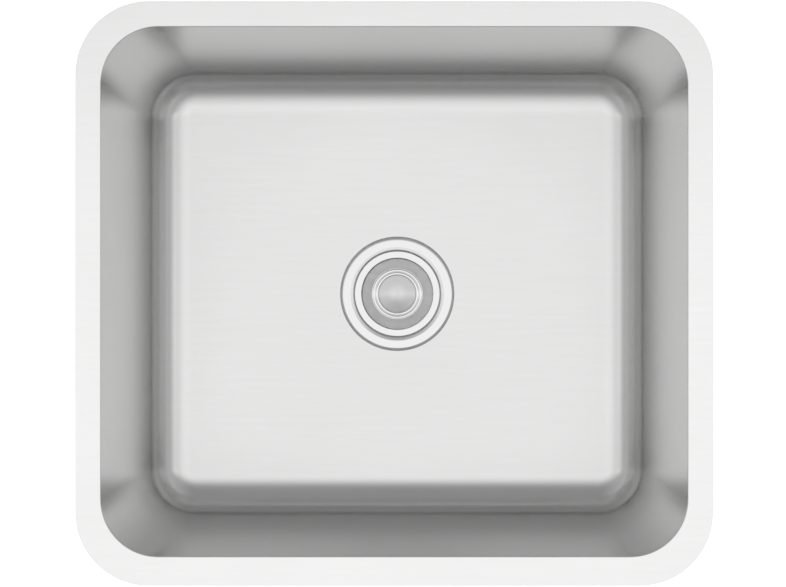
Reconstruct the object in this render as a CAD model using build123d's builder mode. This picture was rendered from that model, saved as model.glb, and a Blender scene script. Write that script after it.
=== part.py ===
"""Undermount kitchen sink: one deep-drawn steel bowl with a basket strainer in the middle of its floor.

Millimetres. X runs along the long side, Y to the back and Z up. The origin is on the drain's axis, in the
plane of the flange's top face, which is glued and clamped to the underside of a countertop.
"""

import os
from math import radians, sqrt, tan

from build123d import *

# The pressed bowl and its mounting flange
sheet = 1.2
opening_length = 538.0
opening_width = 485.5
opening_corner = 55.0
side_flange = 23.0
back_flange = 23.0
front_flange = 26.5
flange_corner = 67.0
bowl_depth = 229.0
wall_draft = 5.7
floor_radius = 30.0
floor_dish_radius = 185.0
floor_fall = 3.0
rim_bend = 2.0

# The stepped seat that is pressed into the floor round the drain hole
recess_radius = 60.6
recess_depth = 4.0
recess_draft = 30.0
drain_hole_radius = 46.8

# The glued sound pads on the outside
pad_thickness = 3.0
floor_pad_length = 112.0
floor_pad_width = 230.0
floor_pad_centre = 130.0
end_pad_width = 240.0
face_pad_width = 290.0
wall_pad_height = 110.0
wall_pad_centre = 100.0

# The strainer's pressed body
strainer_sheet = 1.0
strainer_flange_radius = 57.15
lip_radius = 54.8
lip_drop = 0.8
throat_radius = 49.5
throat_drop = 1.1
cup_radius = 44.3
cup_height = 40.0
cup_bend = 4.0
seat_fall = 3.0
outlet_radius = 20.3
outlet_collar = 8.0

# The seals and the ring nut that clamp the strainer to the bowl
seal_thickness = 1.2
seal_margin = 0.6
gasket_thickness = 3.0
gasket_outer_radius = 57.5
friction_thickness = 1.0
ring_clearance = 0.4
thread_clearance = 0.1
lock_nut_height = 14.0
lock_nut_wall = 5.8
lock_nut_flange = 3.0
lock_nut_flange_radius = 55.0
lock_nut_lugs = 8
lug_width = 10.0
lug_reach = 58.0

# The crossbar in the outlet, which the basket's post snaps through
crossbar_thickness = 3.0
crossbar_arms = 4
crossbar_arm_width = 3.2
crossbar_hub_radius = 9.5
crossbar_clearance = 0.15
weld_gap = 0.1

# The outlet below: welded nipple, washer, tailpiece and coupling nut
nipple_wall = 2.4
nipple_length = 30.0
nipple_chamfer = 1.2
tail_washer_thickness = 2.0
tail_radius = 19.05
tail_wall = 0.9
tail_length = 101.6
slip_clearance = 0.9
coupling_height = 20.0
coupling_lip = 2.0
coupling_across_flats = 58.0
coupling_bevel = 2.6

# The lift-out basket
basket_sheet = 0.7
basket_clearance = 0.5
basket_rim_drop = 2.2
basket_rim_curl = 1.8
basket_mouth_radius = 36.6
basket_floor_radius = 35.6
basket_depth = 33.0
basket_foot_bend = 2.5
hub_foot_radius = 12.0
hub_radius = 9.0
hub_height = 8.0
slot_count = 16
slot_width = 3.0
slot_length = 16.0
slot_start = 9.0

# The knob and the dished cap that is pressed into its top
knob_radius = 25.6
knob_rise = 2.5
knob_edge = 6.5
knob_neck_radius = 8.5
knob_cone = 5.0
bead_width = 3.0
bead_height = 0.6
cap_radius = 19.1
cap_thickness = 1.0
cap_dish = 3.6
cap_dish_floor = 7.0
cap_clearance = 0.15

# The stem, its clip and the bush that it turns in
stem_radius = 4.0
stem_grip = 12.0
stem_end = 2.0
stem_chamfer = 1.2
grip_clearance = 0.05
running_clearance = 0.08
axial_play = 0.3
bush_sleeve = 1.0
bush_flange_radius = 11.0
bush_flange = 1.5
bush_radius = 5.7
bush_length = 17.0
bush_bead = 0.45
bush_bead_height = 2.4
bush_slot = 1.2
bush_slot_depth = 9.0
bush_clearance = 0.1
clip_thickness = 1.2
clip_radius = 5.4
clip_opening = 4.0

# The rubber stopper under the basket
stopper_plate_radius = 20.0
stopper_plate = 3.0
stopper_lip_radius = 31.0
stopper_lip = 1.6
seat_gap = 0.3

# Sizes and heights that follow from the ones above
flange_length = opening_length + 2 * side_flange
flange_width = opening_width + back_flange + front_flange
flange_shift = (back_flange - front_flange) / 2
floor_low = -(bowl_depth + floor_fall)
recess_floor = floor_low - recess_depth
seat_radius = recess_radius - recess_depth * tan(radians(recess_draft))
from_below = (Align.CENTER, Align.CENTER, Align.MIN)
from_above = (Align.CENTER, Align.CENTER, Align.MAX)
bowl_underside = recess_floor - sheet
strainer_top = recess_floor + seal_thickness + strainer_sheet
cup_outer_radius = cup_radius + strainer_sheet
cup_corner = strainer_top - cup_height
outlet_top = cup_corner - seat_fall
collar_bottom = outlet_top - outlet_collar
gasket_bottom = bowl_underside - gasket_thickness
lock_nut_top = gasket_bottom - friction_thickness
thread_radius = cup_outer_radius + thread_clearance
nipple_bore_radius = outlet_radius + strainer_sheet + weld_gap
nipple_radius = nipple_bore_radius + nipple_wall
nipple_top = outlet_top - 2 * strainer_sheet
nipple_bottom = nipple_top - nipple_length
crossbar_top = collar_bottom - weld_gap
tail_top = nipple_bottom - tail_washer_thickness
tail_bottom = tail_top - tail_length
coupling_bottom = tail_top - tail_wall - coupling_lip
coupling_top = coupling_bottom + coupling_height
coupling_corner_radius = coupling_across_flats / sqrt(3)
basket_rim_radius = cup_radius - basket_clearance
basket_top = strainer_top - basket_rim_drop
basket_floor = basket_top - basket_depth
hub_top = basket_floor + hub_height
sleeve_radius = stem_radius + running_clearance + bush_sleeve
post_bore_radius = sleeve_radius + bush_clearance
stopper_top = basket_floor - basket_sheet
stopper_bottom = stopper_top - stopper_plate
bush_shoulder = stopper_bottom - bush_flange
bush_bottom = bush_shoulder - bush_length
bead_top = crossbar_top - crossbar_thickness - crossbar_clearance
crossbar_bore_radius = bush_radius + bush_bead + crossbar_clearance
clip_top = bush_bottom - axial_play
stem_bottom = clip_top - clip_thickness - stem_end
knob_top = basket_top + knob_rise
knob_bottom = hub_top + axial_play
knob_head_bottom = knob_top - knob_edge
stem_top = knob_bottom + stem_grip
cap_rim = knob_top - bead_height
cap_bottom = cap_rim - cap_dish - cap_thickness
cap_seat_radius = cap_radius + cap_clearance
bead_side = sqrt((bead_width / 2) ** 2 + bead_height**2)
outer_bead_radius = knob_radius - bead_width / 2
inner_bead_radius = cap_seat_radius + bead_width / 2


def seat_height(radius):
    """Height of the strainer's conical seat at a radius."""
    return outlet_top + seat_fall * (radius - outlet_radius) / (cup_radius - outlet_radius)


lip_bottom = seat_height(stopper_lip_radius) + seat_gap


def bowl_form(grow):
    """The solid that fills the bowl to its brim, grown outwards by a thickness of sheet."""
    depth = bowl_depth + grow
    inset = depth * tan(radians(wall_draft))
    across = opening_length / 2 - opening_corner
    along = opening_width / 2 - opening_corner
    corner = opening_corner + grow
    with BuildPart() as form:
        # Two tapered blocks carry the straight walls, and tapered rounds between them are the corners
        for plane, reach, breadth in ((Plane.XZ, across + corner, along), (Plane.YZ, along + corner, across)):
            with BuildSketch(plane):
                Polygon((-reach, 0), (inset - reach, -depth), (reach - inset, -depth), (reach, 0), align=None)
            extrude(amount=breadth, both=True)
        with GridLocations(2 * across, 2 * along, 2, 2):
            Cone(corner - inset, corner, depth, align=from_above)
        fillet(form.edges().group_by(Axis.Z)[0], floor_radius + grow)
        # The floor is dished towards the drain, where a stepped seat is pressed in
        with Locations((0, 0, floor_low - grow)):
            Cone(recess_radius + grow, floor_dish_radius, floor_fall, align=from_below)
        with Locations((0, 0, recess_floor - grow)):
            Cone(seat_radius + grow, recess_radius + grow, recess_depth, align=from_below)
    return form.part


# ---- The bowl and its sound pads

outer_form = bowl_form(sheet)

with BuildPart() as sink_bowl:
    with BuildSketch(Plane.XY):
        with Locations((0, flange_shift)):
            RectangleRounded(flange_length, flange_width, flange_corner)
    extrude(amount=-sheet)
    add(outer_form)
    flange_underside = sink_bowl.faces().filter_by(Axis.Z).sort_by(Axis.Z)[-2]
    chamfer(flange_underside.inner_wires()[0].edges(), rim_bend - sheet)
    add(bowl_form(0), mode=Mode.SUBTRACT)
    flange_face = sink_bowl.faces().filter_by(Axis.Z).sort_by(Axis.Z)[-1]
    fillet(flange_face.inner_wires()[0].edges(), rim_bend)
    Hole(drain_hole_radius)

with BuildPart() as pad_layer:
    add(bowl_form(sheet + pad_thickness))
    add(outer_form, mode=Mode.SUBTRACT)


def sound_pad(side, centre, length, width):
    """A glued pad: the stretch of the pad layer inside a rectangle drawn on one side of the bowl."""
    with BuildPart() as pad:
        add(pad_layer.part)
        with BuildSketch(side):
            with Locations(centre):
                Rectangle(length, width)
        extrude(amount=opening_length, mode=Mode.INTERSECT)
    return pad


pad_bottom_left = sound_pad(Plane.bottom, (-floor_pad_centre, 0), floor_pad_length, floor_pad_width)
pad_bottom_right = sound_pad(Plane.bottom, (floor_pad_centre, 0), floor_pad_length, floor_pad_width)
pad_left = sound_pad(Plane.left, (0, -wall_pad_centre), end_pad_width, wall_pad_height)
pad_right = sound_pad(Plane.right, (0, -wall_pad_centre), end_pad_width, wall_pad_height)
pad_front = sound_pad(Plane.front, (0, -wall_pad_centre), face_pad_width, wall_pad_height)
pad_back = sound_pad(Plane.back, (0, -wall_pad_centre), face_pad_width, wall_pad_height)

# ---- The strainer body and what clamps it to the bowl

with BuildPart() as strainer_body:
    with BuildSketch(Plane.XZ):
        with BuildLine():
            inside = Polyline(
                (strainer_flange_radius, strainer_top - lip_drop),
                (lip_radius, strainer_top),
                (throat_radius, strainer_top),
                (cup_radius, strainer_top - throat_drop),
                (cup_radius, cup_corner + cup_bend),
                (cup_radius - cup_bend, seat_height(cup_radius - cup_bend)),
                (outlet_radius, outlet_top),
                (outlet_radius, collar_bottom),
            )
            offset(inside, strainer_sheet, side=Side.LEFT, kind=Kind.INTERSECTION)
        make_face()
    revolve(axis=Axis.Z)

with BuildPart() as flange_seal:
    with BuildSketch(Plane.XY.offset(recess_floor)):
        Circle(lip_radius - seal_margin)
        Circle(throat_radius + seal_margin, mode=Mode.SUBTRACT)
    extrude(amount=seal_thickness)

with BuildPart() as rubber_gasket:
    with BuildSketch(Plane.XY.offset(gasket_bottom)):
        Circle(gasket_outer_radius)
        Circle(cup_outer_radius + ring_clearance, mode=Mode.SUBTRACT)
    extrude(amount=gasket_thickness)

with BuildPart() as friction_ring:
    with BuildSketch(Plane.XY.offset(lock_nut_top)):
        Circle(lock_nut_flange_radius)
        Circle(cup_outer_radius + ring_clearance, mode=Mode.SUBTRACT)
    extrude(amount=friction_thickness)

with BuildPart() as lock_nut:
    with BuildSketch(Plane.XY.offset(lock_nut_top)):
        with PolarLocations(0, lock_nut_lugs):
            Rectangle(lug_reach, lug_width, align=(Align.MIN, Align.CENTER))
        Circle(lock_nut_flange_radius)
    extrude(amount=-lock_nut_flange)
    with BuildSketch(Plane.XY.offset(lock_nut_top)):
        Circle(thread_radius + lock_nut_wall)
    extrude(amount=-lock_nut_height)
    with Locations((0, 0, lock_nut_top)):
        Hole(thread_radius)

# ---- The outlet

with BuildPart() as strainer_crossbar:
    with BuildSketch(Plane.XY.offset(crossbar_top)):
        with PolarLocations(0, crossbar_arms):
            Rectangle(nipple_bore_radius, crossbar_arm_width, align=(Align.MIN, Align.CENTER))
        Circle(crossbar_hub_radius)
        Circle(nipple_bore_radius - weld_gap, mode=Mode.INTERSECT)
        Circle(crossbar_bore_radius, mode=Mode.SUBTRACT)
    extrude(amount=-crossbar_thickness)

with BuildPart() as outlet_nipple:
    with BuildSketch(Plane.XY.offset(nipple_top)):
        Circle(nipple_radius)
        Circle(nipple_bore_radius, mode=Mode.SUBTRACT)
    extrude(amount=-nipple_length)
    chamfer(outlet_nipple.edges().group_by(Axis.Z)[0].sort_by(SortBy.RADIUS)[-1], nipple_chamfer)

with BuildPart() as tailpiece_washer:
    with BuildSketch(Plane.XY.offset(tail_top)):
        Circle(nipple_radius - slip_clearance)
        Circle(tail_radius, mode=Mode.SUBTRACT)
    extrude(amount=tail_washer_thickness)

with BuildPart() as tailpiece:
    with BuildSketch(Plane.XZ):
        with BuildLine():
            inside = Polyline(
                (nipple_radius - slip_clearance, tail_top),
                (tail_radius - tail_wall, tail_top),
                (tail_radius - tail_wall, tail_bottom),
            )
            offset(inside, tail_wall, side=Side.LEFT, kind=Kind.INTERSECTION)
        make_face()
    revolve(axis=Axis.Z)

with BuildPart() as coupling_nut:
    with BuildSketch(Plane.XY.offset(coupling_bottom)):
        RegularPolygon(coupling_across_flats / 2, 6, major_radius=False)
    extrude(amount=coupling_height)
    # Both ends of the hexagon are turned to a bevel
    with BuildSketch(Plane.XZ):
        with BuildLine():
            Polyline(
                (0, coupling_bottom),
                (coupling_across_flats / 2, coupling_bottom),
                (coupling_corner_radius, coupling_bottom + coupling_bevel),
                (coupling_corner_radius, coupling_top - coupling_bevel),
                (coupling_across_flats / 2, coupling_top),
                (0, coupling_top),
                close=True,
            )
        make_face()
    revolve(axis=Axis.Z, mode=Mode.INTERSECT)
    # The bore is threaded down to a lip that carries the tailpiece's flange
    with Locations((0, 0, coupling_top)):
        Hole(nipple_radius + thread_clearance, depth=coupling_height - coupling_lip)
        Hole(tail_radius + slip_clearance)

# ---- The lift-out basket, its stopper and its post

with BuildPart() as basket_cup:
    with BuildSketch(Plane.XZ):
        with BuildLine():
            inside = Polyline(
                (basket_rim_radius, basket_top - basket_rim_curl),
                (basket_rim_radius, basket_top),
                (basket_mouth_radius, basket_top),
                (basket_floor_radius, basket_floor + basket_foot_bend),
                (basket_floor_radius - basket_foot_bend, basket_floor),
                (hub_foot_radius, basket_floor),
                (hub_radius, hub_top),
                (post_bore_radius, hub_top),
            )
            offset(inside, basket_sheet, side=Side.LEFT, kind=Kind.INTERSECTION)
        make_face()
    revolve(axis=Axis.Z)
    # The upright slots in the wall
    with BuildSketch(Plane.XY.offset(basket_top - slot_start)):
        with PolarLocations(hub_foot_radius, slot_count):
            Rectangle(basket_rim_radius, slot_width, align=(Align.MIN, Align.CENTER))
    extrude(amount=-slot_length, mode=Mode.SUBTRACT)

with BuildPart() as stopper_seal:
    with BuildSketch(Plane.XZ):
        with BuildLine():
            Polyline(
                (post_bore_radius, stopper_top),
                (stopper_plate_radius, stopper_top),
                (stopper_lip_radius, lip_bottom + stopper_lip),
                (stopper_lip_radius, lip_bottom),
                (stopper_plate_radius, stopper_bottom),
                (post_bore_radius, stopper_bottom),
                close=True,
            )
        make_face()
    revolve(axis=Axis.Z)

with BuildPart() as post_bush:
    with BuildSketch(Plane.XZ):
        with BuildLine():
            Polyline(
                (stem_radius + running_clearance, hub_top),
                (sleeve_radius, hub_top),
                (sleeve_radius, stopper_bottom),
                (bush_flange_radius, stopper_bottom),
                (bush_flange_radius, bush_shoulder),
                (bush_radius, bush_shoulder),
                (bush_radius, bead_top),
                (bush_radius + bush_bead, bead_top - bush_bead_height / 2),
                (bush_radius, bead_top - bush_bead_height),
                (bush_radius, bush_bottom),
                (stem_radius + running_clearance, bush_bottom),
                close=True,
            )
        make_face()
    revolve(axis=Axis.Z)
    # A slot lets the bead spring through the crossbar
    with BuildSketch(Plane.XY.offset(bush_bottom)):
        Rectangle(2 * bush_flange_radius, bush_slot)
    extrude(amount=bush_slot_depth, mode=Mode.SUBTRACT)

# ---- The knob, its cap, the stem and the clip

with BuildPart() as knob:
    with BuildSketch(Plane.XZ):
        with BuildLine():
            Polyline(
                (0, knob_bottom),
                (knob_neck_radius, knob_bottom),
                (knob_neck_radius, knob_head_bottom - knob_cone),
                (knob_radius, knob_head_bottom),
                (knob_radius, cap_rim),
                (cap_seat_radius, cap_rim),
                (cap_seat_radius, cap_bottom - cap_clearance),
                (0, cap_bottom - cap_clearance),
                close=True,
            )
        make_face()
        # Two raised beads run round the top
        with Locations((outer_bead_radius, cap_rim), (inner_bead_radius, cap_rim)):
            Triangle(a=bead_width, b=bead_side, c=bead_side, align=(Align.CENTER, Align.MIN))
    revolve(axis=Axis.Z)
    with Locations((0, 0, knob_bottom)):
        Hole(stem_radius + grip_clearance, depth=stem_grip)

with BuildPart() as knob_cap:
    with Locations((0, 0, cap_bottom)):
        Cylinder(cap_radius, cap_dish + cap_thickness, align=from_below)
    with Locations((0, 0, cap_rim - cap_dish)):
        Cone(cap_dish_floor, cap_radius, cap_dish, align=from_below, mode=Mode.SUBTRACT)

with BuildPart() as stem:
    with BuildSketch(Plane.XY.offset(stem_bottom)):
        Circle(stem_radius)
    extrude(amount=stem_top - stem_bottom)
    chamfer(stem.edges().group_by(Axis.Z)[0], stem_chamfer)

with BuildPart() as stem_clip:
    with BuildSketch(Plane.XY.offset(clip_top)):
        Circle(clip_radius)
        Circle(stem_radius + grip_clearance, mode=Mode.SUBTRACT)
        with Locations((clip_radius, 0)):
            Rectangle(2 * clip_radius, clip_opening, mode=Mode.SUBTRACT)
    extrude(amount=-clip_thickness)

# ---- One labelled file for each piece

pieces = {
    "sink_bowl": sink_bowl,
    "pad_bottom_left": pad_bottom_left,
    "pad_bottom_right": pad_bottom_right,
    "pad_left": pad_left,
    "pad_right": pad_right,
    "pad_front": pad_front,
    "pad_back": pad_back,
    "strainer_body": strainer_body,
    "flange_seal": flange_seal,
    "rubber_gasket": rubber_gasket,
    "friction_ring": friction_ring,
    "lock_nut": lock_nut,
    "strainer_crossbar": strainer_crossbar,
    "outlet_nipple": outlet_nipple,
    "tailpiece_washer": tailpiece_washer,
    "tailpiece": tailpiece,
    "coupling_nut": coupling_nut,
    "basket_cup": basket_cup,
    "stopper_seal": stopper_seal,
    "post_bush": post_bush,
    "knob": knob,
    "knob_cap": knob_cap,
    "stem": stem,
    "stem_clip": stem_clip,
}

os.makedirs("parts", exist_ok=True)
for name, piece in pieces.items():
    piece.part.label = name
    export_step(piece.part, f"parts/{name}.step")
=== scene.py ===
"""Looks for the undermount kitchen sink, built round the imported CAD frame.

Lengths are millimetres, unless a comment says otherwise. The origin is on the drain's axis, in the plane of
the flange's top face. X runs along the long side, Y to the back and Z up.
"""

from math import atan2, cos, exp, hypot, log, pi, radians, sin, tan

import bmesh
import bpy
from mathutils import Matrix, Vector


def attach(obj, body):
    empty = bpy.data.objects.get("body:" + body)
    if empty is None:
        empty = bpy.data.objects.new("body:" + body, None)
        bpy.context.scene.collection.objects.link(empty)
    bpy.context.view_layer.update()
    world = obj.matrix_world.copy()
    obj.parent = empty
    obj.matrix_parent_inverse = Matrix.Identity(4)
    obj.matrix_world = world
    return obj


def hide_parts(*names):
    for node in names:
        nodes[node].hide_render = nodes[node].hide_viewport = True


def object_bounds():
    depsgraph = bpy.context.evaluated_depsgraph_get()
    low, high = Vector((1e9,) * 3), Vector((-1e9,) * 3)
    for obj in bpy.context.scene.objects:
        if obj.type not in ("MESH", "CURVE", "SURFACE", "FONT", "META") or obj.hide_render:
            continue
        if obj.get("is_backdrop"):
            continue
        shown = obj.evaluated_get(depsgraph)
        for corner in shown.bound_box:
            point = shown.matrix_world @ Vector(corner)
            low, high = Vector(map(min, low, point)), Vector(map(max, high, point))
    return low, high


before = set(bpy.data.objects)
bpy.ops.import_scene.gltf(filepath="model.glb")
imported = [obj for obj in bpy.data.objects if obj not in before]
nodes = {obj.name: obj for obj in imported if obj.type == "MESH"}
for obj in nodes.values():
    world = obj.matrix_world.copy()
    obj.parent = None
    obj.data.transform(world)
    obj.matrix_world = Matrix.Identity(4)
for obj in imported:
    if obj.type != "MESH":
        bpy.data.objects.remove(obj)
cad_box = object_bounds()

MM = 0.001

# ---------------------------------------------------------------- sizes

# The bowl: half sizes and corner radii of its opening and its flange, which reaches further at the front
SHEET = 1.2
OPEN_X, OPEN_Y, OPEN_R = 269.0, 242.75, 53.0
FLANGE_X, FLANGE_Y, FLANGE_R, FLANGE_SHIFT = 292.0, 267.5, 67.0, -1.75
RIM_INSIDE, RIM_OUTSIDE = 1.0, 1.6
DEPTH, DRAFT = 229.0, radians(5.7)
FLOOR_R, FOOT_R, FLOOR_CORNER = 30.0, 44.0, 2.0
# The corners tighten faster in the bend into the floor than in the wall, and the change takes this much of its run
CORNER_RUN = 10.0
# That bend runs out over its last degrees with a radius that is larger by EASE
EASE, EASE_FROM = 15.0, radians(30.0)
# The floor falls towards the drain between two radii, with a soft start
DISH_R, DISH_END, DISH_SOFT, FALL = 185.0, 60.0, 6.0, 3.0
FLOOR_LOW = -(DEPTH + FALL)
# The stepped seat round the drain hole
SEAT_R, SEAT_FOOT_R, SEAT_DROP, DRAIN_R = 58.5, 57.5, 4.0, 46.8
SEAT_FLOOR = FLOOR_LOW - SEAT_DROP
# The sprayed coat starts below the flange and ends round the drain
COAT_TOP, COAT_EDGE = 14.0, 68.0

# The sound pads: half sizes, thickness, and where they lie
PAD_THICK, PAD_CORNER, PAD_CROWN = 3.0, 8.0, 9.0
FLOOR_PAD, END_PAD, FACE_PAD = (56, 115), (120, 55), (145, 55)
FLOOR_PAD_X, WALL_PAD_Z = 130, -100.0

# The strainer's pressed body, whose flange lies on a seal
SEAL_THICK = 1.2
STRAINER_R, STRAINER_SHEET = 57.15, 1.0
STRAINER_TOP = SEAT_FLOOR + SEAL_THICK + STRAINER_SHEET
CUP_R, CUP_DEPTH = 44.3, 40.0
OUTLET_R, CONE_FALL, COLLAR = 20.3, 3.0, 8.0
CUP_LOW = STRAINER_TOP - CUP_DEPTH
CONE_LOW = CUP_LOW - CONE_FALL

# The gasket, the friction ring and the ring nut under the bowl
GASKET_THICK, SLIP_THICK = 3.0, 1.0
NUT_BORE, NUT_R, NUT_FLANGE_R = 45.4, 51.2, 55.0
NUT_FLANGE, NUT_HEIGHT, LUGS, LUG_R = 3.0, 14.0, 8, 53.8

# The outlet
NIPPLE_BORE, NIPPLE_R, NIPPLE_THREAD_R, NIPPLE_LENGTH = 21.4, 23.4, 23.8, 30.0
TAIL_R, TAIL_BORE, TAIL_LIP_R, TAIL_LENGTH, TAIL_SHEET = 19.05, 18.15, 22.9, 101.6, 0.9
COUPLING_FLATS, COUPLING_R, COUPLING_LIP, COUPLING_HEIGHT, COUPLING_BEVEL = 29.0, 33.4, 2.9, 20.0, 2.7

# The lift-out basket, its stopper and its bush
BASKET_TOP = STRAINER_TOP - 2.2
BASKET_FLOOR = BASKET_TOP - 33.0
BASKET_R, BASKET_MOUTH, BASKET_FOOT, BASKET_SHEET = 44.15, 36.7, 37.4, 0.7
HUB_TOP = BASKET_FLOOR + 8.0
SLOTS, SLOT_HALF_WIDTH, SLOT_HALF_LENGTH, SLOT_MIDDLE = 16, 1.5, 8.0, 17.0
STOP_TOP = BASKET_FLOOR - BASKET_SHEET
STOP_THICK, STOPPER_R, STOP_GAP = 3.0, 31.0, 0.3
BUSH_BORE, BUSH_SLEEVE, BUSH_R, BUSH_FLANGE_R = 4.08, 5.08, 5.7, 11.0
BUSH_FLANGE, BUSH_LENGTH = 1.5, 16.0
SNAP_R, SNAP_LOW, SNAP_MIDDLE, SNAP_HIGH = 6.15, -290.4, -289.2, -288.05
SAW_HALF, SAW_DEPTH = 0.6, 9.0

# The knob, its cap and its stem
KNOB_TOP = BASKET_TOP + 2.5
KNOB_LOW = HUB_TOP + 0.3
KNOB_R, KNOB_NECK, KNOB_HEAD, KNOB_CONE = 26.1, 8.5, 6.5, 5.0
CAP_RIM = KNOB_TOP - 0.6
CAP_POCKET = CAP_RIM - 4.7
STEM_R, STEM_LOW, STEM_GRIP = 4.0, -294.7, 12.0
GROOVE_R, GROOVE_LOW, GROOVE_HIGH, GROOVE_EASE = 3.55, -292.7, -291.5, 0.05

# How fine the meshes are, and the angle over which an edge stays sharp
ROUND_STEPS = 160
SHARP = 32.0


# ---------------------------------------------------------------- mesh helpers

def smooth(mesh, sharp=SHARP):
    """Smooth shading with its sharper edges kept."""
    mesh.polygons.foreach_set("use_smooth", [True] * len(mesh.polygons))
    mesh.set_sharp_from_angle(angle=radians(sharp))


def mesh_object(name, verts, faces, sharp=SHARP):
    """A smooth-shaded mesh from points in millimetres."""
    mesh = bpy.data.meshes.new(name)
    mesh.from_pydata([(x * MM, y * MM, z * MM) for x, y, z in verts], [], faces)
    mesh.validate()
    smooth(mesh, sharp)
    mesh.update()
    obj = bpy.data.objects.new(name, mesh)
    bpy.context.scene.collection.objects.link(obj)
    return obj


def outward(obj):
    """Turns all faces outwards."""
    form = bmesh.new()
    form.from_mesh(obj.data)
    bmesh.ops.recalc_face_normals(form, faces=form.faces)
    form.to_mesh(obj.data)
    form.free()


def bend(points, radii, steps=8):
    """An open line with an arc at each inner point."""
    out = [points[0]]
    for (ax, ay), (bx, by), (cx, cy), r in zip(points, points[1:], points[2:], radii):
        ux, uy, vx, vy = ax - bx, ay - by, cx - bx, cy - by
        lu, lv = hypot(ux, uy), hypot(vx, vy)
        ux, uy, vx, vy = ux / lu, uy / lu, vx / lv, vy / lv
        angle = pi - abs(atan2(ux * vy - uy * vx, ux * vx + uy * vy))
        reach = min(r * tan(angle / 2), 0.499 * lu, 0.499 * lv)
        r = reach / tan(angle / 2)
        mx, my = ux + vx, uy + vy
        hold = r / cos(angle / 2) / hypot(mx, my)
        ox, oy = bx + mx * hold, by + my * hold
        start = atan2(by + uy * reach - oy, bx + ux * reach - ox)
        end = atan2(by + vy * reach - oy, bx + vx * reach - ox)
        turn = (end - start + pi) % (2 * pi) - pi
        count = max(2, round(steps * angle / (pi / 2)) + 1)
        for i in range(count + 1):
            a = start + turn * i / count
            out.append((ox + r * cos(a), oy + r * sin(a)))
    out.append(points[-1])
    return held(out)


def held(points, near=0.12):
    """The same line with a point close to each end of its long stretches, so that flat faces shade flat."""
    out = []
    for (ax, ay), (bx, by) in zip(points, points[1:]):
        out.append((ax, ay))
        length = hypot(bx - ax, by - ay)
        if length > 5 * near:
            for t in (near / length, 1 - near / length):
                out.append((ax + (bx - ax) * t, ay + (by - ay) * t))
    out.append(points[-1])
    return out


def shifted(points, gap):
    """The same line moved sideways by a gap, with mitred corners."""
    normals = []
    for (px, py), (qx, qy) in zip(points, points[1:]):
        length = hypot(qx - px, qy - py)
        normals.append((-(qy - py) / length, (qx - px) / length))
    out = []
    for (x, y), (ax, ay), (bx, by) in zip(points, normals[:1] + normals, normals + normals[-1:]):
        k = 1 + ax * bx + ay * by
        out.append((x + gap * (ax + bx) / k, y + gap * (ay + by) / k))
    return out


def pressed(points, radii, sheet, steps=8):
    """The closed outline of a bent sheet, whose thickness lies to the left of the line."""
    other = []
    for a, b, c, r in zip(points, points[1:], points[2:], radii):
        cross = (b[0] - a[0]) * (c[1] - b[1]) - (b[1] - a[1]) * (c[0] - b[0])
        other.append(max(r - sheet, 0.05) if cross > 0 else r + sheet)
    return bend(points, radii, steps) + bend(shifted(points, sheet), other, steps)[::-1]


def circle(r, z, steps):
    """Points round the Z axis."""
    return [(r * cos(2 * pi * i / steps), r * sin(2 * pi * i / steps), z) for i in range(steps)]


def turned_about(points, a):
    """Points turned about the Z axis by an angle."""
    return [(x * cos(a) - y * sin(a), x * sin(a) + y * cos(a), z) for x, y, z in points]


def lathe(name, outline, steps=ROUND_STEPS, closed=True, sharp=SHARP):
    """A turned piece from (radius, height) points."""
    verts, faces, rows = [], [], []
    for r, z in outline:
        if r == 0:
            rows.append([len(verts)] * steps)
            verts.append((0, 0, z))
        else:
            rows.append(list(range(len(verts), len(verts) + steps)))
            verts += circle(r, z, steps)
    pairs = list(zip(rows, rows[1:]))
    if closed:
        pairs.append((rows[-1], rows[0]))
    for low, high in pairs:
        for i in range(steps):
            j = (i + 1) % steps
            # a face at the axis has three corners
            face = list(dict.fromkeys((low[i], low[j], high[j], high[i])))
            if len(face) > 2:
                faces.append(face)
    obj = mesh_object(name, verts, faces, sharp)
    outward(obj)
    return obj


def ring(name, inner, outer, low, high, edge):
    """A flat ring with eased edges."""
    return lathe(name, [
        (inner + edge, low), (outer - edge, low), (outer, low + edge), (outer, high - edge),
        (outer - edge, high), (inner + edge, high), (inner, high - edge), (inner, low + edge)])


def rounded_loop(hx, hy, r, cy=0.0, side=24, corner=28):
    """Points round a rounded rectangle, the same count for any size."""
    centres = ((hx - r, hy - r), (r - hx, hy - r), (r - hx, r - hy), (hx - r, r - hy))

    def on_arc(quarter, i):
        ox, oy = centres[quarter % 4]
        a = radians(90 * (quarter + i / corner))
        return ox + r * cos(a), cy + oy + r * sin(a)

    out = []
    for quarter in range(4):
        out += [on_arc(quarter, i) for i in range(corner + 1)]
        (ax, ay), (bx, by) = out[-1], on_arc(quarter + 1, 0)
        out += [(ax + (bx - ax) * i / side, ay + (by - ay) * i / side) for i in range(1, side)]
    return out


def stack(name, loops, closed=False, cap=False, sharp=SHARP):
    """A skin over loops of points, each with as many points as the next."""
    count = len(loops[0])
    verts = [p for loop in loops for p in loop]
    faces = []
    pairs = list(zip(range(len(loops)), range(1, len(loops))))
    if closed:
        pairs.append((len(loops) - 1, 0))
    for a, b in pairs:
        for i in range(count):
            j = (i + 1) % count
            faces.append((a * count + i, a * count + j, b * count + j, b * count + i))
    if cap:
        faces.append(tuple(range((len(loops) - 1) * count, len(loops) * count)))
    obj = mesh_object(name, verts, faces, sharp)
    outward(obj)
    return obj


def prism(name, low, high):
    """A closed solid between two loops."""
    count = len(low)
    faces = [tuple(range(count))[::-1], tuple(range(count, 2 * count))]
    faces += [(k, (k + 1) % count, count + (k + 1) % count, count + k) for k in range(count)]
    obj = mesh_object(name, low + high, faces)
    outward(obj)
    return obj


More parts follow.
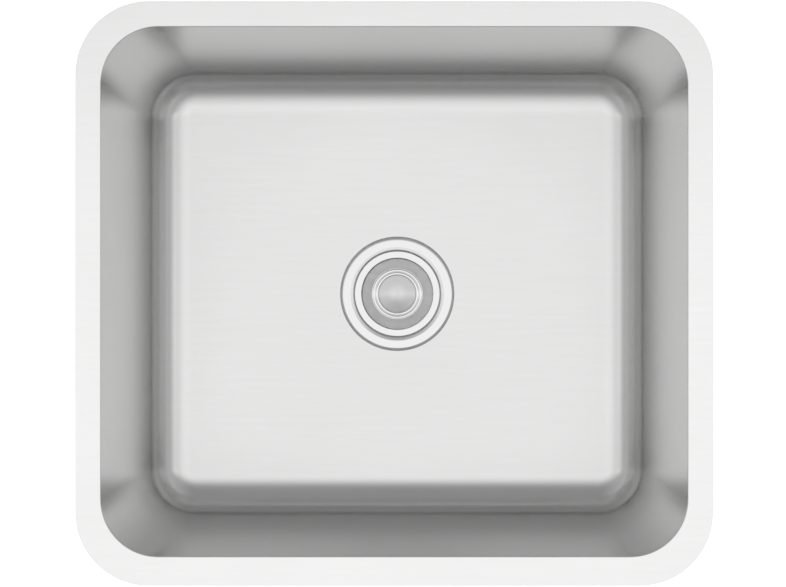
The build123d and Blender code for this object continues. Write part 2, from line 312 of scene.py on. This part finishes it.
def threaded(name, radius, depth, pitch, low, high, core, steps=120, rows_per_turn=8):
    """A sleeve with a rolled thread outside, run out at both ends."""
    loops = []
    rows = int((high - low) / pitch * rows_per_turn) + 1
    for j in range(rows):
        z = low + (high - low) * j / (rows - 1)
        fade = min(1.0, (z - low) / pitch, (high - z) / pitch)
        loop = []
        for i in range(steps):
            a = 2 * pi * i / steps
            wave = 0.5 + 0.5 * cos(2 * pi * z / pitch - a)
            # the crest is a little flat
            r = radius - depth * fade * (1 - min(1.0, 1.35 * wave))
            loop.append((r * cos(a), r * sin(a), z))
        loops.append(loop)
    loops += [circle(core, high, steps), circle(core, low, steps)]
    return stack(name, loops, closed=True, sharp=40.0)


def cut(obj, tool, mode="DIFFERENCE"):
    """Applies a boolean and drops the tool."""
    step = obj.modifiers.new("cut", "BOOLEAN")
    step.operation, step.solver, step.object = mode, "EXACT", tool
    graph = bpy.context.evaluated_depsgraph_get()
    done = bpy.data.meshes.new_from_object(obj.evaluated_get(graph))
    obj.modifiers.clear()
    obj.data = done
    smooth(done)
    bpy.data.objects.remove(tool)


def join(name, objects):
    """One object of several meshes."""
    verts, faces = [], []
    for obj in objects:
        base = len(verts)
        verts += [tuple(c / MM for c in v.co) for v in obj.data.vertices]
        faces += [tuple(base + i for i in p.vertices) for p in obj.data.polygons]
        bpy.data.objects.remove(obj)
    return mesh_object(name, verts, faces)


# ---------------------------------------------------------------- node helpers

def node(tree, kind, **values):
    """A node. Names in lower case are its settings, and the others are its sockets."""
    made = tree.nodes.new(kind)
    for key, value in values.items():
        if key[0].isupper():
            made.inputs[key.replace("_", " ")].default_value = value
        else:
            setattr(made, key, value)
    return made


def maths(tree, operation, a, b=None):
    """A Math node on sockets and numbers."""
    made = node(tree, "ShaderNodeMath", operation=operation)
    for socket, value in zip(made.inputs, (a, b)):
        if isinstance(value, float):
            socket.default_value = value
        elif value is not None:
            tree.links.new(value, socket)
    return made.outputs[0]


def remap(tree, value, start, end, low, high, curve="LINEAR"):
    """A value's range mapped to another one."""
    made = node(tree, "ShaderNodeMapRange", interpolation_type=curve,
                From_Min=start, From_Max=end, To_Min=low, To_Max=high)
    tree.links.new(value, made.inputs["Value"])
    return made.outputs["Result"]


def spread(tree, texture, low, high):
    """A noise's usual values mapped to a range."""
    return remap(tree, texture, 0.3, 0.7, low, high)


def noise(tree, source, scale, detail, rough, stretch=(1, 1, 1), distortion=0.0):
    """Noise on stretched coordinates in metres."""
    place = node(tree, "ShaderNodeMapping", Scale=stretch)
    tree.links.new(source, place.inputs["Vector"])
    made = node(tree, "ShaderNodeTexNoise", Scale=scale, Detail=detail, Roughness=rough, Distortion=distortion)
    tree.links.new(place.outputs["Vector"], made.inputs["Vector"])
    return made.outputs["Fac"]


def tint(tree, shader, factor, dark, light):
    """A base colour between two tones."""
    mix = node(tree, "ShaderNodeMix", data_type="RGBA")
    for socket in mix.inputs:
        if socket.type == "RGBA":
            socket.default_value = (*{"A": dark, "B": light}[socket.name], 1)
    tree.links.new(factor, mix.inputs["Factor"])
    mixed = next(socket for socket in mix.outputs if socket.type == "RGBA")
    tree.links.new(mixed, shader.inputs["Base Color"])


def bump(tree, shader, height, strength, distance, under=None):
    """A bump of a distance in metres, laid over another one if there is one."""
    made = node(tree, "ShaderNodeBump", Strength=strength, Distance=distance)
    tree.links.new(height, made.inputs["Height"])
    if under is not None:
        tree.links.new(under.outputs["Normal"], made.inputs["Normal"])
    tree.links.new(made.outputs["Normal"], shader.inputs["Normal"])
    return made


# ---------------------------------------------------------------- materials

def material(name, colour, metallic, rough):
    """A material with its node tree and shader."""
    mat = bpy.data.materials.new(name)
    mat.use_nodes = True
    mat.diffuse_color = (*colour, 1)
    shader = mat.node_tree.nodes["Principled BSDF"]
    shader.inputs["Base Color"].default_value = (*colour, 1)
    shader.inputs["Metallic"].default_value = metallic
    shader.inputs["Roughness"].default_value = rough
    return mat, mat.node_tree, shader


def grained_steel(name, colour, rough, grain="UV", lines=3200.0, vary=0.02):
    """Rolled steel: fine lines along the grain, coarser streaks and faint blotches."""
    mat, tree, shader = material(name, colour, 1.0, rough)
    coords = node(tree, "ShaderNodeTexCoord")
    source = coords.outputs[grain]
    fine = noise(tree, source, 1.0, 3.0, 0.6, (lines * 0.02, lines, lines))
    coarse = noise(tree, source, 1.0, 2.0, 0.5, (14.0, 220.0, 220.0))
    blotch = noise(tree, coords.outputs["Object"], 9.0, 3.0, 0.55)
    lined = spread(tree, fine, -vary, vary)
    blotched = spread(tree, blotch, rough - vary * 0.6, rough + vary * 0.6)
    tree.links.new(maths(tree, "ADD", lined, blotched), shader.inputs["Roughness"])
    dark = tuple(c * 0.99 for c in colour)
    light = tuple(c * 1.006 for c in colour)
    tint(tree, shader, spread(tree, coarse, 0, 1), dark, light)
    first = bump(tree, shader, fine, 0.25, 4e-6)
    bump(tree, shader, coarse, 0.05, 8e-6, first)
    return mat


def polished_metal(name, colour, rough, rings=0.0, aniso=0.0):
    """Bright metal with faint smears, and a turned gloss or fine turned rings round the Z axis if asked."""
    vary = 0.03
    mat, tree, shader = material(name, colour, 1.0, rough)
    if aniso:
        shader.inputs["Anisotropic"].default_value = aniso
        shader.inputs["Anisotropic Rotation"].default_value = 0.25
        around = node(tree, "ShaderNodeTangent", direction_type="RADIAL", axis="Z")
        tree.links.new(around.outputs["Tangent"], shader.inputs["Tangent"])
    coords = node(tree, "ShaderNodeTexCoord")
    smear = noise(tree, coords.outputs["Object"], 60.0, 4.0, 0.6, distortion=0.4)
    tree.links.new(spread(tree, smear, rough - vary, rough + vary), shader.inputs["Roughness"])
    tint(tree, shader, spread(tree, smear, 0, 1), tuple(c * 0.96 for c in colour), colour)
    under = bump(tree, shader, smear, 0.05, 1e-4)
    if rings:
        wave = node(tree, "ShaderNodeTexWave", wave_type="RINGS", rings_direction="Z",
                    Scale=rings, Distortion=0.6, Detail=3.0, Detail_Scale=2.0)
        tree.links.new(coords.outputs["Object"], wave.inputs["Vector"])
        bump(tree, shader, wave.outputs["Fac"], 0.25, 3e-5, under)
    return mat


def moulded(name, colour, rough, scale=900.0, strength=0.25, depth=1e-4, vary=0.08, cloudy=35.0, tone=0.15,
            metallic=0.0):
    """Rubber, plastic, a coat or a casting: a fine grain, and clouds in its tone and gloss."""
    mat, tree, shader = material(name, colour, metallic, rough)
    coords = node(tree, "ShaderNodeTexCoord")
    grain = noise(tree, coords.outputs["Object"], scale, 3.0, 0.6)
    cloud = noise(tree, coords.outputs["Object"], cloudy, 4.0, 0.6)
    tree.links.new(spread(tree, cloud, rough - vary, rough + vary), shader.inputs["Roughness"])
    dark = tuple(c * (1 - tone) for c in colour)
    light = tuple(c * (1 + tone) + 0.003 for c in colour)
    tint(tree, shader, spread(tree, cloud, 0, 1), dark, light)
    bump(tree, shader, grain, strength, depth)
    return mat


satin = grained_steel("satin_steel", (0.757, 0.757, 0.754), 0.25, vary=0.012)
flange_steel = grained_steel("flange_steel", (0.835, 0.835, 0.832), 0.22)
polished = polished_metal("polished_steel", (0.82, 0.82, 0.82), 0.2)
basket_steel = polished_metal("basket_steel", (0.875, 0.875, 0.872), 0.36, aniso=0.75)
knob_steel = polished_metal("knob_steel", (0.87, 0.87, 0.868), 0.15)
turned = polished_metal("turned_steel", (0.81, 0.81, 0.807), 0.34, rings=380.0, aniso=0.8)
plated = polished_metal("plated_brass", (0.56, 0.565, 0.57), 0.14)
spring = grained_steel("spring_steel", (0.42, 0.43, 0.45), 0.3, grain="Object", lines=2000.0)
cast = moulded("cast_metal", (0.50, 0.51, 0.52), 0.42, scale=700.0, strength=0.35, depth=1.2e-4, tone=0.08,
               metallic=1.0)
black_rubber = moulded("black_rubber", (0.032, 0.032, 0.034), 0.55)
pad_rubber = moulded("grey_rubber", (0.115, 0.122, 0.130), 0.66, scale=420.0, strength=0.6, depth=4e-4, vary=0.06,
                     cloudy=150.0, tone=0.08)
white_plastic = moulded("white_plastic", (0.78, 0.78, 0.75), 0.38, scale=1200.0, strength=0.12, tone=0.05)
fibre = moulded("fibre_board", (0.40, 0.31, 0.20), 0.8, scale=500.0, strength=0.5, depth=2e-4)
coat = moulded("deadening_coat", (0.36, 0.37, 0.38), 0.8, scale=420.0, strength=1.0, depth=1.2e-3, vary=0.06,
               cloudy=260.0, tone=0.1)


def dress(obj, mats, body, replaced=None):
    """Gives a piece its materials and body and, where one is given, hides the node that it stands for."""
    obj.data.materials.clear()
    for mat in mats:
        obj.data.materials.append(mat)
    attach(obj, body)
    if replaced:
        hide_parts(replaced)


# ---------------------------------------------------------------- the drawn bowl

def soft_ramp(x, width):
    """Zero below nought and x above, with a rounded corner."""
    return width * log(1 + exp(x / width)) if x < 20 * width else x


def floor_height(x, y):
    """Height of the floor, which is dished towards the drain."""
    run = soft_ramp(DISH_R - hypot(x, y), DISH_SOFT)
    return -DEPTH - FALL * min(run / (DISH_R - DISH_END), 1.0)


def wall_size(depth):
    """Half sizes and corner radius of the wall at a depth."""
    inset = depth * tan(DRAFT)
    return OPEN_X - inset, OPEN_Y - inset, OPEN_R + (FOOT_R - OPEN_R) * depth / DEPTH


def bowl_skin(grow, rim):
    """Loops of the bowl's skin from the flange's plane to the drain hole, grown outwards by a gap."""
    rim_rows, wall_rows, bend_rows, floor_rows = 10, 30, 42, 40
    turn = pi / 2 - DRAFT
    loops = []

    def add(depth, hx, hy, corner):
        loops.append([(x, y, -depth) for x, y in rounded_loop(hx, hy, corner)])

    # the bend from the flange into the wall
    hx, hy, r = wall_size(0)
    for i in range(rim_rows + 1):
        a = turn * i / rim_rows
        out = grow + rim * (tan(turn / 2) - sin(a))
        add(grow + rim * (1 - cos(a)), hx + out, hy + out, r + out)

    # the drafted wall, down to where the bend starts
    radius = FLOOR_R + grow
    tangent = radius * tan(turn / 2)
    foot = DEPTH + grow
    lift = EASE * (1 - cos(EASE_FROM))
    top = grow + rim * (1 - cos(turn))
    base = foot - tangent * cos(DRAFT) - lift
    for i in range(1, wall_rows + 1):
        depth = top + (base - top) * i / wall_rows
        hx, hy, r = wall_size(depth)
        add(depth, hx + grow, hy + grow, r + grow)

    # the bend into the floor: insets are from the foot of the wall, and the first corner is the wall's last
    hx, hy, _ = wall_size(foot)
    start = tangent - radius * cos(DRAFT) - lift * tan(DRAFT)
    whole = tangent + EASE * sin(EASE_FROM) - lift * tan(DRAFT) - start
    first = wall_size(base)[2] + grow
    rate = (OPEN_R - FOOT_R) / (DEPTH * tan(DRAFT))
    extra = (first - rate * whole - FLOOR_CORNER - grow) / (whole - CORNER_RUN / 2)
    for i in range(1, bend_rows + 1):
        a = DRAFT + turn * i / bend_rows
        late = max(a, pi / 2 - EASE_FROM)
        inset = tangent - radius * cos(a) + EASE * (sin(EASE_FROM) - cos(late)) - lift * tan(DRAFT)
        depth = foot - radius * (1 - sin(a)) - EASE * (1 - sin(late))
        run = inset - start
        tightened = run - CORNER_RUN / 2 if run > CORNER_RUN else run * run / (2 * CORNER_RUN)
        corner = first - rate * run - extra * tightened
        add(depth, hx + grow - inset, hy + grow - inset, corner)

    # the dished floor, from the rounded rectangle to a circle round the drain
    last = loops[-1]
    for i in range(1, floor_rows + 1):
        loop = []
        for x, y, _ in last:
            s = 1 + (COAT_EDGE / hypot(x, y) - 1) * i / floor_rows
            loop.append((x * s, y * s, floor_height(x * s, y * s) - grow))
        loops.append(loop)

    # the stepped seat and the drain hole
    low = FLOOR_LOW - grow
    seat = bend(
        [(COAT_EDGE, floor_height(COAT_EDGE, 0.0) - grow), (SEAT_R + grow, low),
         (SEAT_FOOT_R + grow, low - SEAT_DROP), (DRAIN_R, low - SEAT_DROP)],
        [0.7 + grow * 0.5, 0.8])
    for r, z in seat[1:]:
        loops.append([(r * x / hypot(x, y), r * y / hypot(x, y), z) for x, y, _ in last])
    return loops


def flange_edge(*rows):
    """Loops round the flange's edge, from insets and heights."""
    return [
        [(x, y, z) for x, y in rounded_loop(FLANGE_X - e, FLANGE_Y - e, FLANGE_R - e, FLANGE_SHIFT)]
        for e, z in rows]


def flange_face(start, end):
    """Loops across a face of the flange, close to its ends too, so that it shades flat."""
    return [
        [tuple(a + (b - a) * t for a, b in zip(p, q)) for p, q in zip(start, end)]
        for t in (0.01, 0.25, 0.5, 0.75, 0.985)]


inner = bowl_skin(0.0, RIM_INSIDE)
outer = bowl_skin(SHEET, RIM_OUTSIDE)
edge_top = flange_edge((0.12, 0.0), (0.04, -0.04), (0.0, -0.12))
edge_low = flange_edge((0.0, 0.12 - SHEET), (0.04, 0.04 - SHEET), (0.12, -SHEET))
top_rows = flange_face(edge_top[0], inner[0])
under_rows = flange_face(edge_low[-1], outer[0])
skin = outer[::-1] + under_rows[::-1] + edge_low[::-1] + edge_top[::-1] + top_rows + inner
bowl = stack("bowl_shell", skin, closed=True, sharp=50.0)
dress(bowl, [satin, coat, flange_steel], "sink", "sink_bowl")

# Grain coordinates in metres: straight along the sink on its flat faces, level round the walls
uv = bowl.data.uv_layers.new(name="grain")
points = [v.co for v in bowl.data.vertices]
for poly in bowl.data.polygons:
    for k in poly.loop_indices:
        p = points[bowl.data.loops[k].vertex_index]
        if abs(poly.normal.z) > 0.7:
            uv.data[k].uv = (p.x, p.y)
        elif abs(poly.normal.x) > abs(poly.normal.y):
            uv.data[k].uv = (p.y, p.z)
        else:
            uv.data[k].uv = (p.x, p.z)

# The coat on the outside and the brighter top of the flange. The rest is satin
for poly in bowl.data.polygons:
    rows = [v // len(inner[0]) for v in poly.vertices]
    below = max(points[v].z for v in poly.vertices) < -COAT_TOP * MM
    beyond = hypot(*poly.center.xy) > COAT_EDGE * MM * 0.999
    if max(rows) < len(outer) and below and beyond:
        poly.material_index = 1
    elif min(rows) >= len(outer) and poly.center.z > -0.1 * MM:
        poly.material_index = 2


# ---------------------------------------------------------------- sound pads on the outside

def pad(name, half, place, node_name):
    """A glued pad with rounded corners and an eased, slightly crowned edge."""
    hx, hy = half
    loops = []
    for inset, below_top in ((0, PAD_THICK), (0, 0.7), (0.25, 0.3), (0.8, 0.05), (2.0, 0), (PAD_CROWN, 0)):
        loop = rounded_loop(hx - inset, hy - inset, max(PAD_CORNER - inset, 1.5), side=10, corner=8)
        loops.append([place(x, y, PAD_THICK - below_top) for x, y in loop])
    for s in (0.8, 0.6, 0.4, 0.2, 0.02):
        loops.append([place(x * s, y * s, PAD_THICK) for x, y in loop])
    dress(stack(name, loops, cap=True, sharp=40.0), [pad_rubber], "sink", node_name)


def on_floor(centre):
    """Puts a pad's points below the floor."""
    return lambda x, y, h: (x + centre, y, floor_height(x + centre, y) - SHEET - h)


def on_wall(ax, ay, far):
    """Puts a pad's points on the outside of a wall that faces (ax, ay)."""
    def place(x, y, h):
        z = WALL_PAD_Z + y
        out = far + SHEET + z * tan(DRAFT) + h
        return (ax * out - ay * x, ay * out + ax * x, z)
    return place


pad("floor_pad_left", FLOOR_PAD, on_floor(-FLOOR_PAD_X), "pad_bottom_left")
pad("floor_pad_right", FLOOR_PAD, on_floor(FLOOR_PAD_X), "pad_bottom_right")
pad("end_pad_left", END_PAD, on_wall(-1, 0, OPEN_X), "pad_left")
pad("end_pad_right", END_PAD, on_wall(1, 0, OPEN_X), "pad_right")
pad("face_pad_front", FACE_PAD, on_wall(0, -1, OPEN_Y), "pad_front")
pad("face_pad_back", FACE_PAD, on_wall(0, 1, OPEN_Y), "pad_back")

# ---------------------------------------------------------------- the strainer

top = STRAINER_TOP
cup = [
    (STRAINER_R, SEAT_FLOOR), (56.95, top - 0.28), (55.0, top), (48.4, top), (CUP_R, top - 0.9), (CUP_R, CUP_LOW),
    (OUTLET_R, CONE_LOW), (OUTLET_R, CONE_LOW - COLLAR)]
strainer = lathe("strainer_shell", pressed(cup, [1.3, 6.0, 4.0, 1.8, 4.5, 1.6], STRAINER_SHEET), 192)
dress(strainer, [polished], "sink", "strainer_body")
thread = threaded("strainer_thread", 45.8, 0.5, 2.4, top - 36.0, top - 7.6, 44.8)
dress(thread, [polished], "sink")

seal = ring("seat_seal", 50.1, 54.2, SEAT_FLOOR, SEAT_FLOOR + SEAL_THICK, 0.3)
dress(seal, [pad_rubber], "sink", "flange_seal")
gasket_top = SEAT_FLOOR - SHEET
slip_top = gasket_top - GASKET_THICK
nut_top = slip_top - SLIP_THICK
gasket = ring("clamp_gasket", 45.7, 57.5, slip_top, gasket_top, 0.5)
dress(gasket, [black_rubber], "sink", "rubber_gasket")
slip = ring("slip_ring", 45.7, 55.0, nut_top, slip_top, 0.15)
dress(slip, [fibre], "sink", "friction_ring")

# The ring nut: a flanged collar with lugs
collar = [
    (NUT_BORE, nut_top), (NUT_FLANGE_R, nut_top), (NUT_FLANGE_R, nut_top - NUT_FLANGE), (NUT_R, nut_top - NUT_FLANGE),
    (NUT_R, nut_top - NUT_HEIGHT), (NUT_BORE, nut_top - NUT_HEIGHT), (NUT_BORE, nut_top)]
nut_parts = [lathe("ring_nut", bend(collar, [0.3, 0.5, 1.0, 0.8, 0.4], 4))]
for i in range(LUGS):
    loops = []
    for inset, drop in ((0.5, 0), (0, 0.5), (0, NUT_FLANGE - 0.5), (0.5, NUT_FLANGE)):
        loop = rounded_loop(4.2 - inset, 5.0 - inset, 1.2 - inset * 0.5, side=2, corner=4)
        loops.append(turned_about([(LUG_R + x, y, nut_top - drop) for x, y in loop], 2 * pi * i / LUGS))
    nut_parts.append(stack("lug", loops, cap=True))
dress(join("ring_nut", nut_parts), [cast], "sink", "lock_nut")

# ---------------------------------------------------------------- the outlet

nipple_top = CONE_LOW - 2.0
nipple_low = nipple_top - NIPPLE_LENGTH
tube = [
    (NIPPLE_BORE, nipple_top), (NIPPLE_R, nipple_top), (NIPPLE_R, nipple_low), (NIPPLE_BORE, nipple_low),
    (NIPPLE_BORE, nipple_top)]
nipple_parts = [
    lathe("nipple_core", bend(tube, [0.3, 0.6, 0.3], 3), 120),
    threaded("nipple_thread", NIPPLE_THREAD_R, 0.7, 2.2, nipple_low + 1.2, nipple_top - 6.0, 23.0),
    ring("nipple_collar", 22.5, NIPPLE_THREAD_R, nipple_top - 5.6, nipple_top, 0.3)]
dress(join("threaded_nipple", nipple_parts), [plated], "sink", "outlet_nipple")

tail_top = nipple_low - 2.0
washer = ring("tail_washer", TAIL_R, TAIL_LIP_R, tail_top, nipple_low, 0.4)
dress(washer, [white_plastic], "sink", "tailpiece_washer")
tail = [(TAIL_LIP_R, tail_top), (TAIL_BORE, tail_top), (TAIL_BORE, tail_top - TAIL_LENGTH)]
dress(lathe("tail_tube", pressed(tail, [0.6], TAIL_SHEET, 6), 128), [plated], "sink", "tailpiece")

# The coupling nut: a hexagon with turned ends, bored for the tube, the nipple and an eased mouth. The second cut
# isn't clean: it leaves the bore tool's two end discs in the mesh, a millimetre past the nut's ends.
nut_low = tail_top - COUPLING_LIP
nut_high = nut_low + COUPLING_HEIGHT
hexagon = []
for i in range(6):
    p, q = [(COUPLING_FLATS / cos(pi / 6) * cos(a), COUPLING_FLATS / cos(pi / 6) * sin(a))
            for a in (radians(60 * i), radians(60 * i + 60))]
    hexagon += [(p[0] + (q[0] - p[0]) * k / 6, p[1] + (q[1] - p[1]) * k / 6) for k in range(6)]
coupling = prism("coupling_hex", [(x, y, nut_low) for x, y in hexagon], [(x, y, nut_high) for x, y in hexagon])
ends = [(0, 0), (28.7, 0), (29.2, 0.3), (COUPLING_R, COUPLING_BEVEL)]
outline = [(r, nut_low + z) for r, z in ends] + [(r, nut_high - z) for r, z in ends[::-1]]
cut(coupling, lathe("turning", outline, 180, closed=False), "INTERSECT")
outline = [
    (0, nut_low - 1), (19.95, nut_low - 1), (19.95, nut_low + 2.0), (23.9, nut_low + 2.0), (23.9, nut_high - 1.0),
    (24.9, nut_high + 0.01), (24.9, nut_high + 1), (0, nut_high + 1)]
cut(coupling, lathe("bore", outline, 128, closed=False))
dress(coupling, [plated], "sink", "coupling_nut")

# ---------------------------------------------------------------- the lift-out basket

wall = [
    (BASKET_R, BASKET_TOP - 1.8), (BASKET_R, BASKET_TOP), (BASKET_MOUTH, BASKET_TOP),
    (BASKET_FOOT, BASKET_FLOOR + 0.25), (30.0, BASKET_FLOOR), (12.0, BASKET_FLOOR), (9.0, HUB_TOP), (5.2, HUB_TOP)]
basket = lathe("basket_shell", pressed(wall, [0.9, 0.75, 0.8, 60.0, 2.0, 1.6], BASKET_SHEET, 12), 240)
cutters = []
for i in range(SLOTS):
    loop = rounded_loop(SLOT_HALF_WIDTH, SLOT_HALF_LENGTH, SLOT_HALF_WIDTH - 0.05, side=3, corner=6)
    near, beyond = [
        turned_about([(reach, x, BASKET_TOP - SLOT_MIDDLE + y) for x, y in loop], 2 * pi * i / SLOTS)
        for reach in (28.0, 40.0)]
    cutters.append(prism("slot", near, beyond))
cut(basket, join("slots", cutters))
dress(basket, [basket_steel, polished], "basket", "basket_cup")
for poly in basket.data.polygons:
    # the rolled rim is worn bright
    on_rim = poly.center.z > (BASKET_TOP - 2.0) * MM and hypot(*poly.center.xy) > (BASKET_MOUTH + 0.2) * MM
    poly.material_index = 1 if on_rim else 0

# The stopper's lip stays just above the strainer's cone
lip = CONE_LOW + CONE_FALL * (STOPPER_R - OUTLET_R) / (CUP_R - OUTLET_R) + STOP_GAP
stop_low = STOP_TOP - STOP_THICK
outline = [
    (5.2, STOP_TOP), (20.0, STOP_TOP), (26.0, STOP_TOP - 1.1), (STOPPER_R, lip + 1.3), (STOPPER_R, lip),
    (24.5, lip + 0.3), (20.0, stop_low), (5.2, stop_low), (5.2, STOP_TOP)]
stopper = lathe("rubber_stopper", bend(outline, [1.5, 2.0, 0.6, 0.5, 1.0, 1.0, 0.2], 5))
dress(stopper, [black_rubber], "basket", "stopper_seal")

# The bush has a snap bead and a saw cut through its foot
bush_low = stop_low - BUSH_FLANGE - BUSH_LENGTH
outline = [
    (BUSH_BORE, HUB_TOP), (BUSH_SLEEVE, HUB_TOP), (BUSH_SLEEVE, stop_low), (BUSH_FLANGE_R, stop_low),
    (BUSH_FLANGE_R, stop_low - BUSH_FLANGE), (BUSH_R, stop_low - BUSH_FLANGE), (BUSH_R, SNAP_HIGH),
    (SNAP_R, SNAP_MIDDLE), (BUSH_R, SNAP_LOW), (5.4, bush_low), (BUSH_BORE, bush_low), (BUSH_BORE, HUB_TOP)]
bush = lathe("snap_bush", bend(outline, [0.2, 0.05, 0.4, 0.4, 0.5, 0.5, 0.5, 0.5, 0.3, 0.2], 4), 96)
loop = rounded_loop(12.0, SAW_HALF, SAW_HALF - 0.1, side=2, corner=3)
cut(bush, prism("saw", [(x, y, bush_low - 1) for x, y in loop], [(x, y, bush_low + SAW_DEPTH) for x, y in loop]))
dress(bush, [white_plastic], "basket", "post_bush")


# ---------------------------------------------------------------- the knob

def bead(middle, half=1.5, height=0.42, count=12):
    """Points over a turned bead, from its outer to its inner foot."""
    steps = [1 - 2 * i / count for i in range(count + 1)]
    return [(middle + half * t, CAP_RIM + height * (1 - t * t)) for t in steps]


head = KNOB_TOP - KNOB_HEAD
underside = [(4.05, KNOB_LOW), (KNOB_NECK, KNOB_LOW), (KNOB_NECK, head - KNOB_CONE), (KNOB_R, head), (KNOB_R, CAP_RIM)]
profile = bend(underside, [0.8, 6.0, 2.4]) + bead(24.1) + bead(20.8) + [(19.25, CAP_POCKET), (4.05, CAP_POCKET)]
dress(lathe("knob_head", profile, 192, sharp=60), [knob_steel], "knob", "knob")

# The cap's bare face is flat in the middle and rises towards its edge
dish = []
for i in range(31):
    r = 18.7 * i / 30
    dish.append((r, CAP_RIM - 3.6 + 0.28 * soft_ramp(r - 6.4, 2.0)))
edge = [(19.0, CAP_RIM - 0.02), (19.1, CAP_RIM - 0.3), (19.1, CAP_RIM - 4.5), (0, CAP_RIM - 4.6)]
cap = lathe("knob_cap_disc", dish + edge, closed=False, sharp=60)
dress(cap, [turned], "knob", "knob_cap")

stem_top = KNOB_LOW + STEM_GRIP
outline = [
    (0, STEM_LOW), (2.9, STEM_LOW), (STEM_R, STEM_LOW + 1.2), (STEM_R, GROOVE_LOW - GROOVE_EASE),
    (GROOVE_R, GROOVE_LOW), (GROOVE_R, GROOVE_HIGH), (STEM_R, GROOVE_HIGH + GROOVE_EASE), (STEM_R, stem_top),
    (0, stem_top)]
stem = lathe("post_stem", bend(outline, [0.3, 0.3, 0.05, 0.05, 0.05, 0.05, 0.3], 3), 64, closed=False)
dress(stem, [turned], "knob", "stem")

# ---------------------------------------------------------------- solids that stay as they are

for name, mat in (("strainer_crossbar", polished), ("stem_clip", spring)):
    solid = nodes[name]
    solid.data.materials.clear()
    solid.data.materials.append(mat)

# ---------------------------------------------------------------- floor

FLOOR_HALF = 40000
FLOOR_GLOW = 0.6
floor_z = cad_box[0][2] / MM - 0.5
corners = [(-1, -1), (1, -1), (1, 1), (-1, 1)]
floor = mesh_object("studio_floor", [(x * FLOOR_HALF, y * FLOOR_HALF, floor_z) for x, y in corners], [(0, 1, 2, 3)])
paper, tree, shader = material("studio_paper", (0.86, 0.86, 0.86), 0.0, 0.85)
# The camera, metal and glass see it brighter than it lights the object
path = node(tree, "ShaderNodeLightPath").outputs
seen = maths(tree, "MAXIMUM", path["Is Camera Ray"], path["Is Glossy Ray"])
seen = maths(tree, "MAXIMUM", seen, path["Is Transmission Ray"])
shader.inputs["Emission Color"].default_value = (1, 1, 1, 1)
tree.links.new(maths(tree, "MULTIPLY", seen, FLOOR_GLOW), shader.inputs["Emission Strength"])
floor.data.materials.append(paper)
floor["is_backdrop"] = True

# ---------------------------------------------------------------- light

# Half angles of the soft box overhead, and the strengths of its light and of the room's
BOX_SIDE, BOX_BACK, BOX_FRONT, BOX_LIGHT = radians(28.0), radians(17.0), radians(34.0), 0.80
ROOM, ROOM_SIDES, HORIZON = 0.295, 0.28, 0.55
# Two lamps beside it: their angle from straight up, half sizes as slopes, and strength
LAMP_ANGLE, LAMP_HALF_X, LAMP_HALF_Y, LAMP_LIGHT = radians(38), 0.16, 0.15, 0.55

world = bpy.data.worlds.new("studio")
bpy.context.scene.world = world
world.use_nodes = True
tree = world.node_tree
back = tree.nodes["Background"]
split = node(tree, "ShaderNodeSeparateXYZ")
tree.links.new(node(tree, "ShaderNodeTexCoord").outputs["Generated"], split.inputs[0])
east, north, up = split.outputs


def length(a, b):
    """The root of two squares."""
    return maths(tree, "SQRT", maths(tree, "ADD", maths(tree, "MULTIPLY", a, a), maths(tree, "MULTIPLY", b, b)))


high = maths(tree, "MAXIMUM", up, 0.02)
slope_x = maths(tree, "DIVIDE", east, high)
slope_y = maths(tree, "DIVIDE", north, high)
across = maths(tree, "DIVIDE", slope_x, tan(BOX_SIDE))
along = maths(tree, "MAXIMUM", maths(tree, "DIVIDE", slope_y, tan(BOX_BACK)),
              maths(tree, "DIVIDE", slope_y, -tan(BOX_FRONT)))
box_light = remap(tree, length(across, along), 0.15, 1.9, BOX_LIGHT, 0.0, "SMOOTHSTEP")
beside = maths(tree, "SUBTRACT", maths(tree, "ABSOLUTE", slope_x), tan(LAMP_ANGLE))
aside = length(maths(tree, "DIVIDE", beside, LAMP_HALF_X), maths(tree, "DIVIDE", slope_y, LAMP_HALF_Y))
lamp_light = remap(tree, aside, 0.6, 1.4, LAMP_LIGHT, 0.0, "SMOOTHSTEP")
sides = maths(tree, "MULTIPLY", maths(tree, "ABSOLUTE", east), ROOM_SIDES)
room = maths(tree, "ADD", sides, ROOM)
horizon = remap(tree, up, 0.14, 0.50, HORIZON, 0.0, "SMOOTHSTEP")
strength = box_light
for light in (lamp_light, room, horizon):
    strength = maths(tree, "ADD", strength, light)
tree.links.new(strength, back.inputs["Strength"])
back.inputs["Color"].default_value = (1, 1, 1, 1)

# ---------------------------------------------------------------- camera, in metres

camera_data = bpy.data.cameras.new("camera")
camera = bpy.data.objects.new("camera", camera_data)
bpy.context.scene.collection.objects.link(camera)
camera.location = (0.0248, -0.018, 1.872)
camera.rotation_euler = (0, 0, 0)
camera_data.lens = 93.6
camera_data.sensor_width = 36.0
camera_data.shift_x = -0.036
camera_data.shift_y = 0.0225
camera_data.clip_end = 50
bpy.context.scene.camera = camera
bpy.context.scene.view_settings.view_transform = "Standard"

new_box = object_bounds()
plain = lambda box: [[float(c) for c in corner] for corner in box]
{"cad": plain(cad_box), "visual": plain(new_box)}
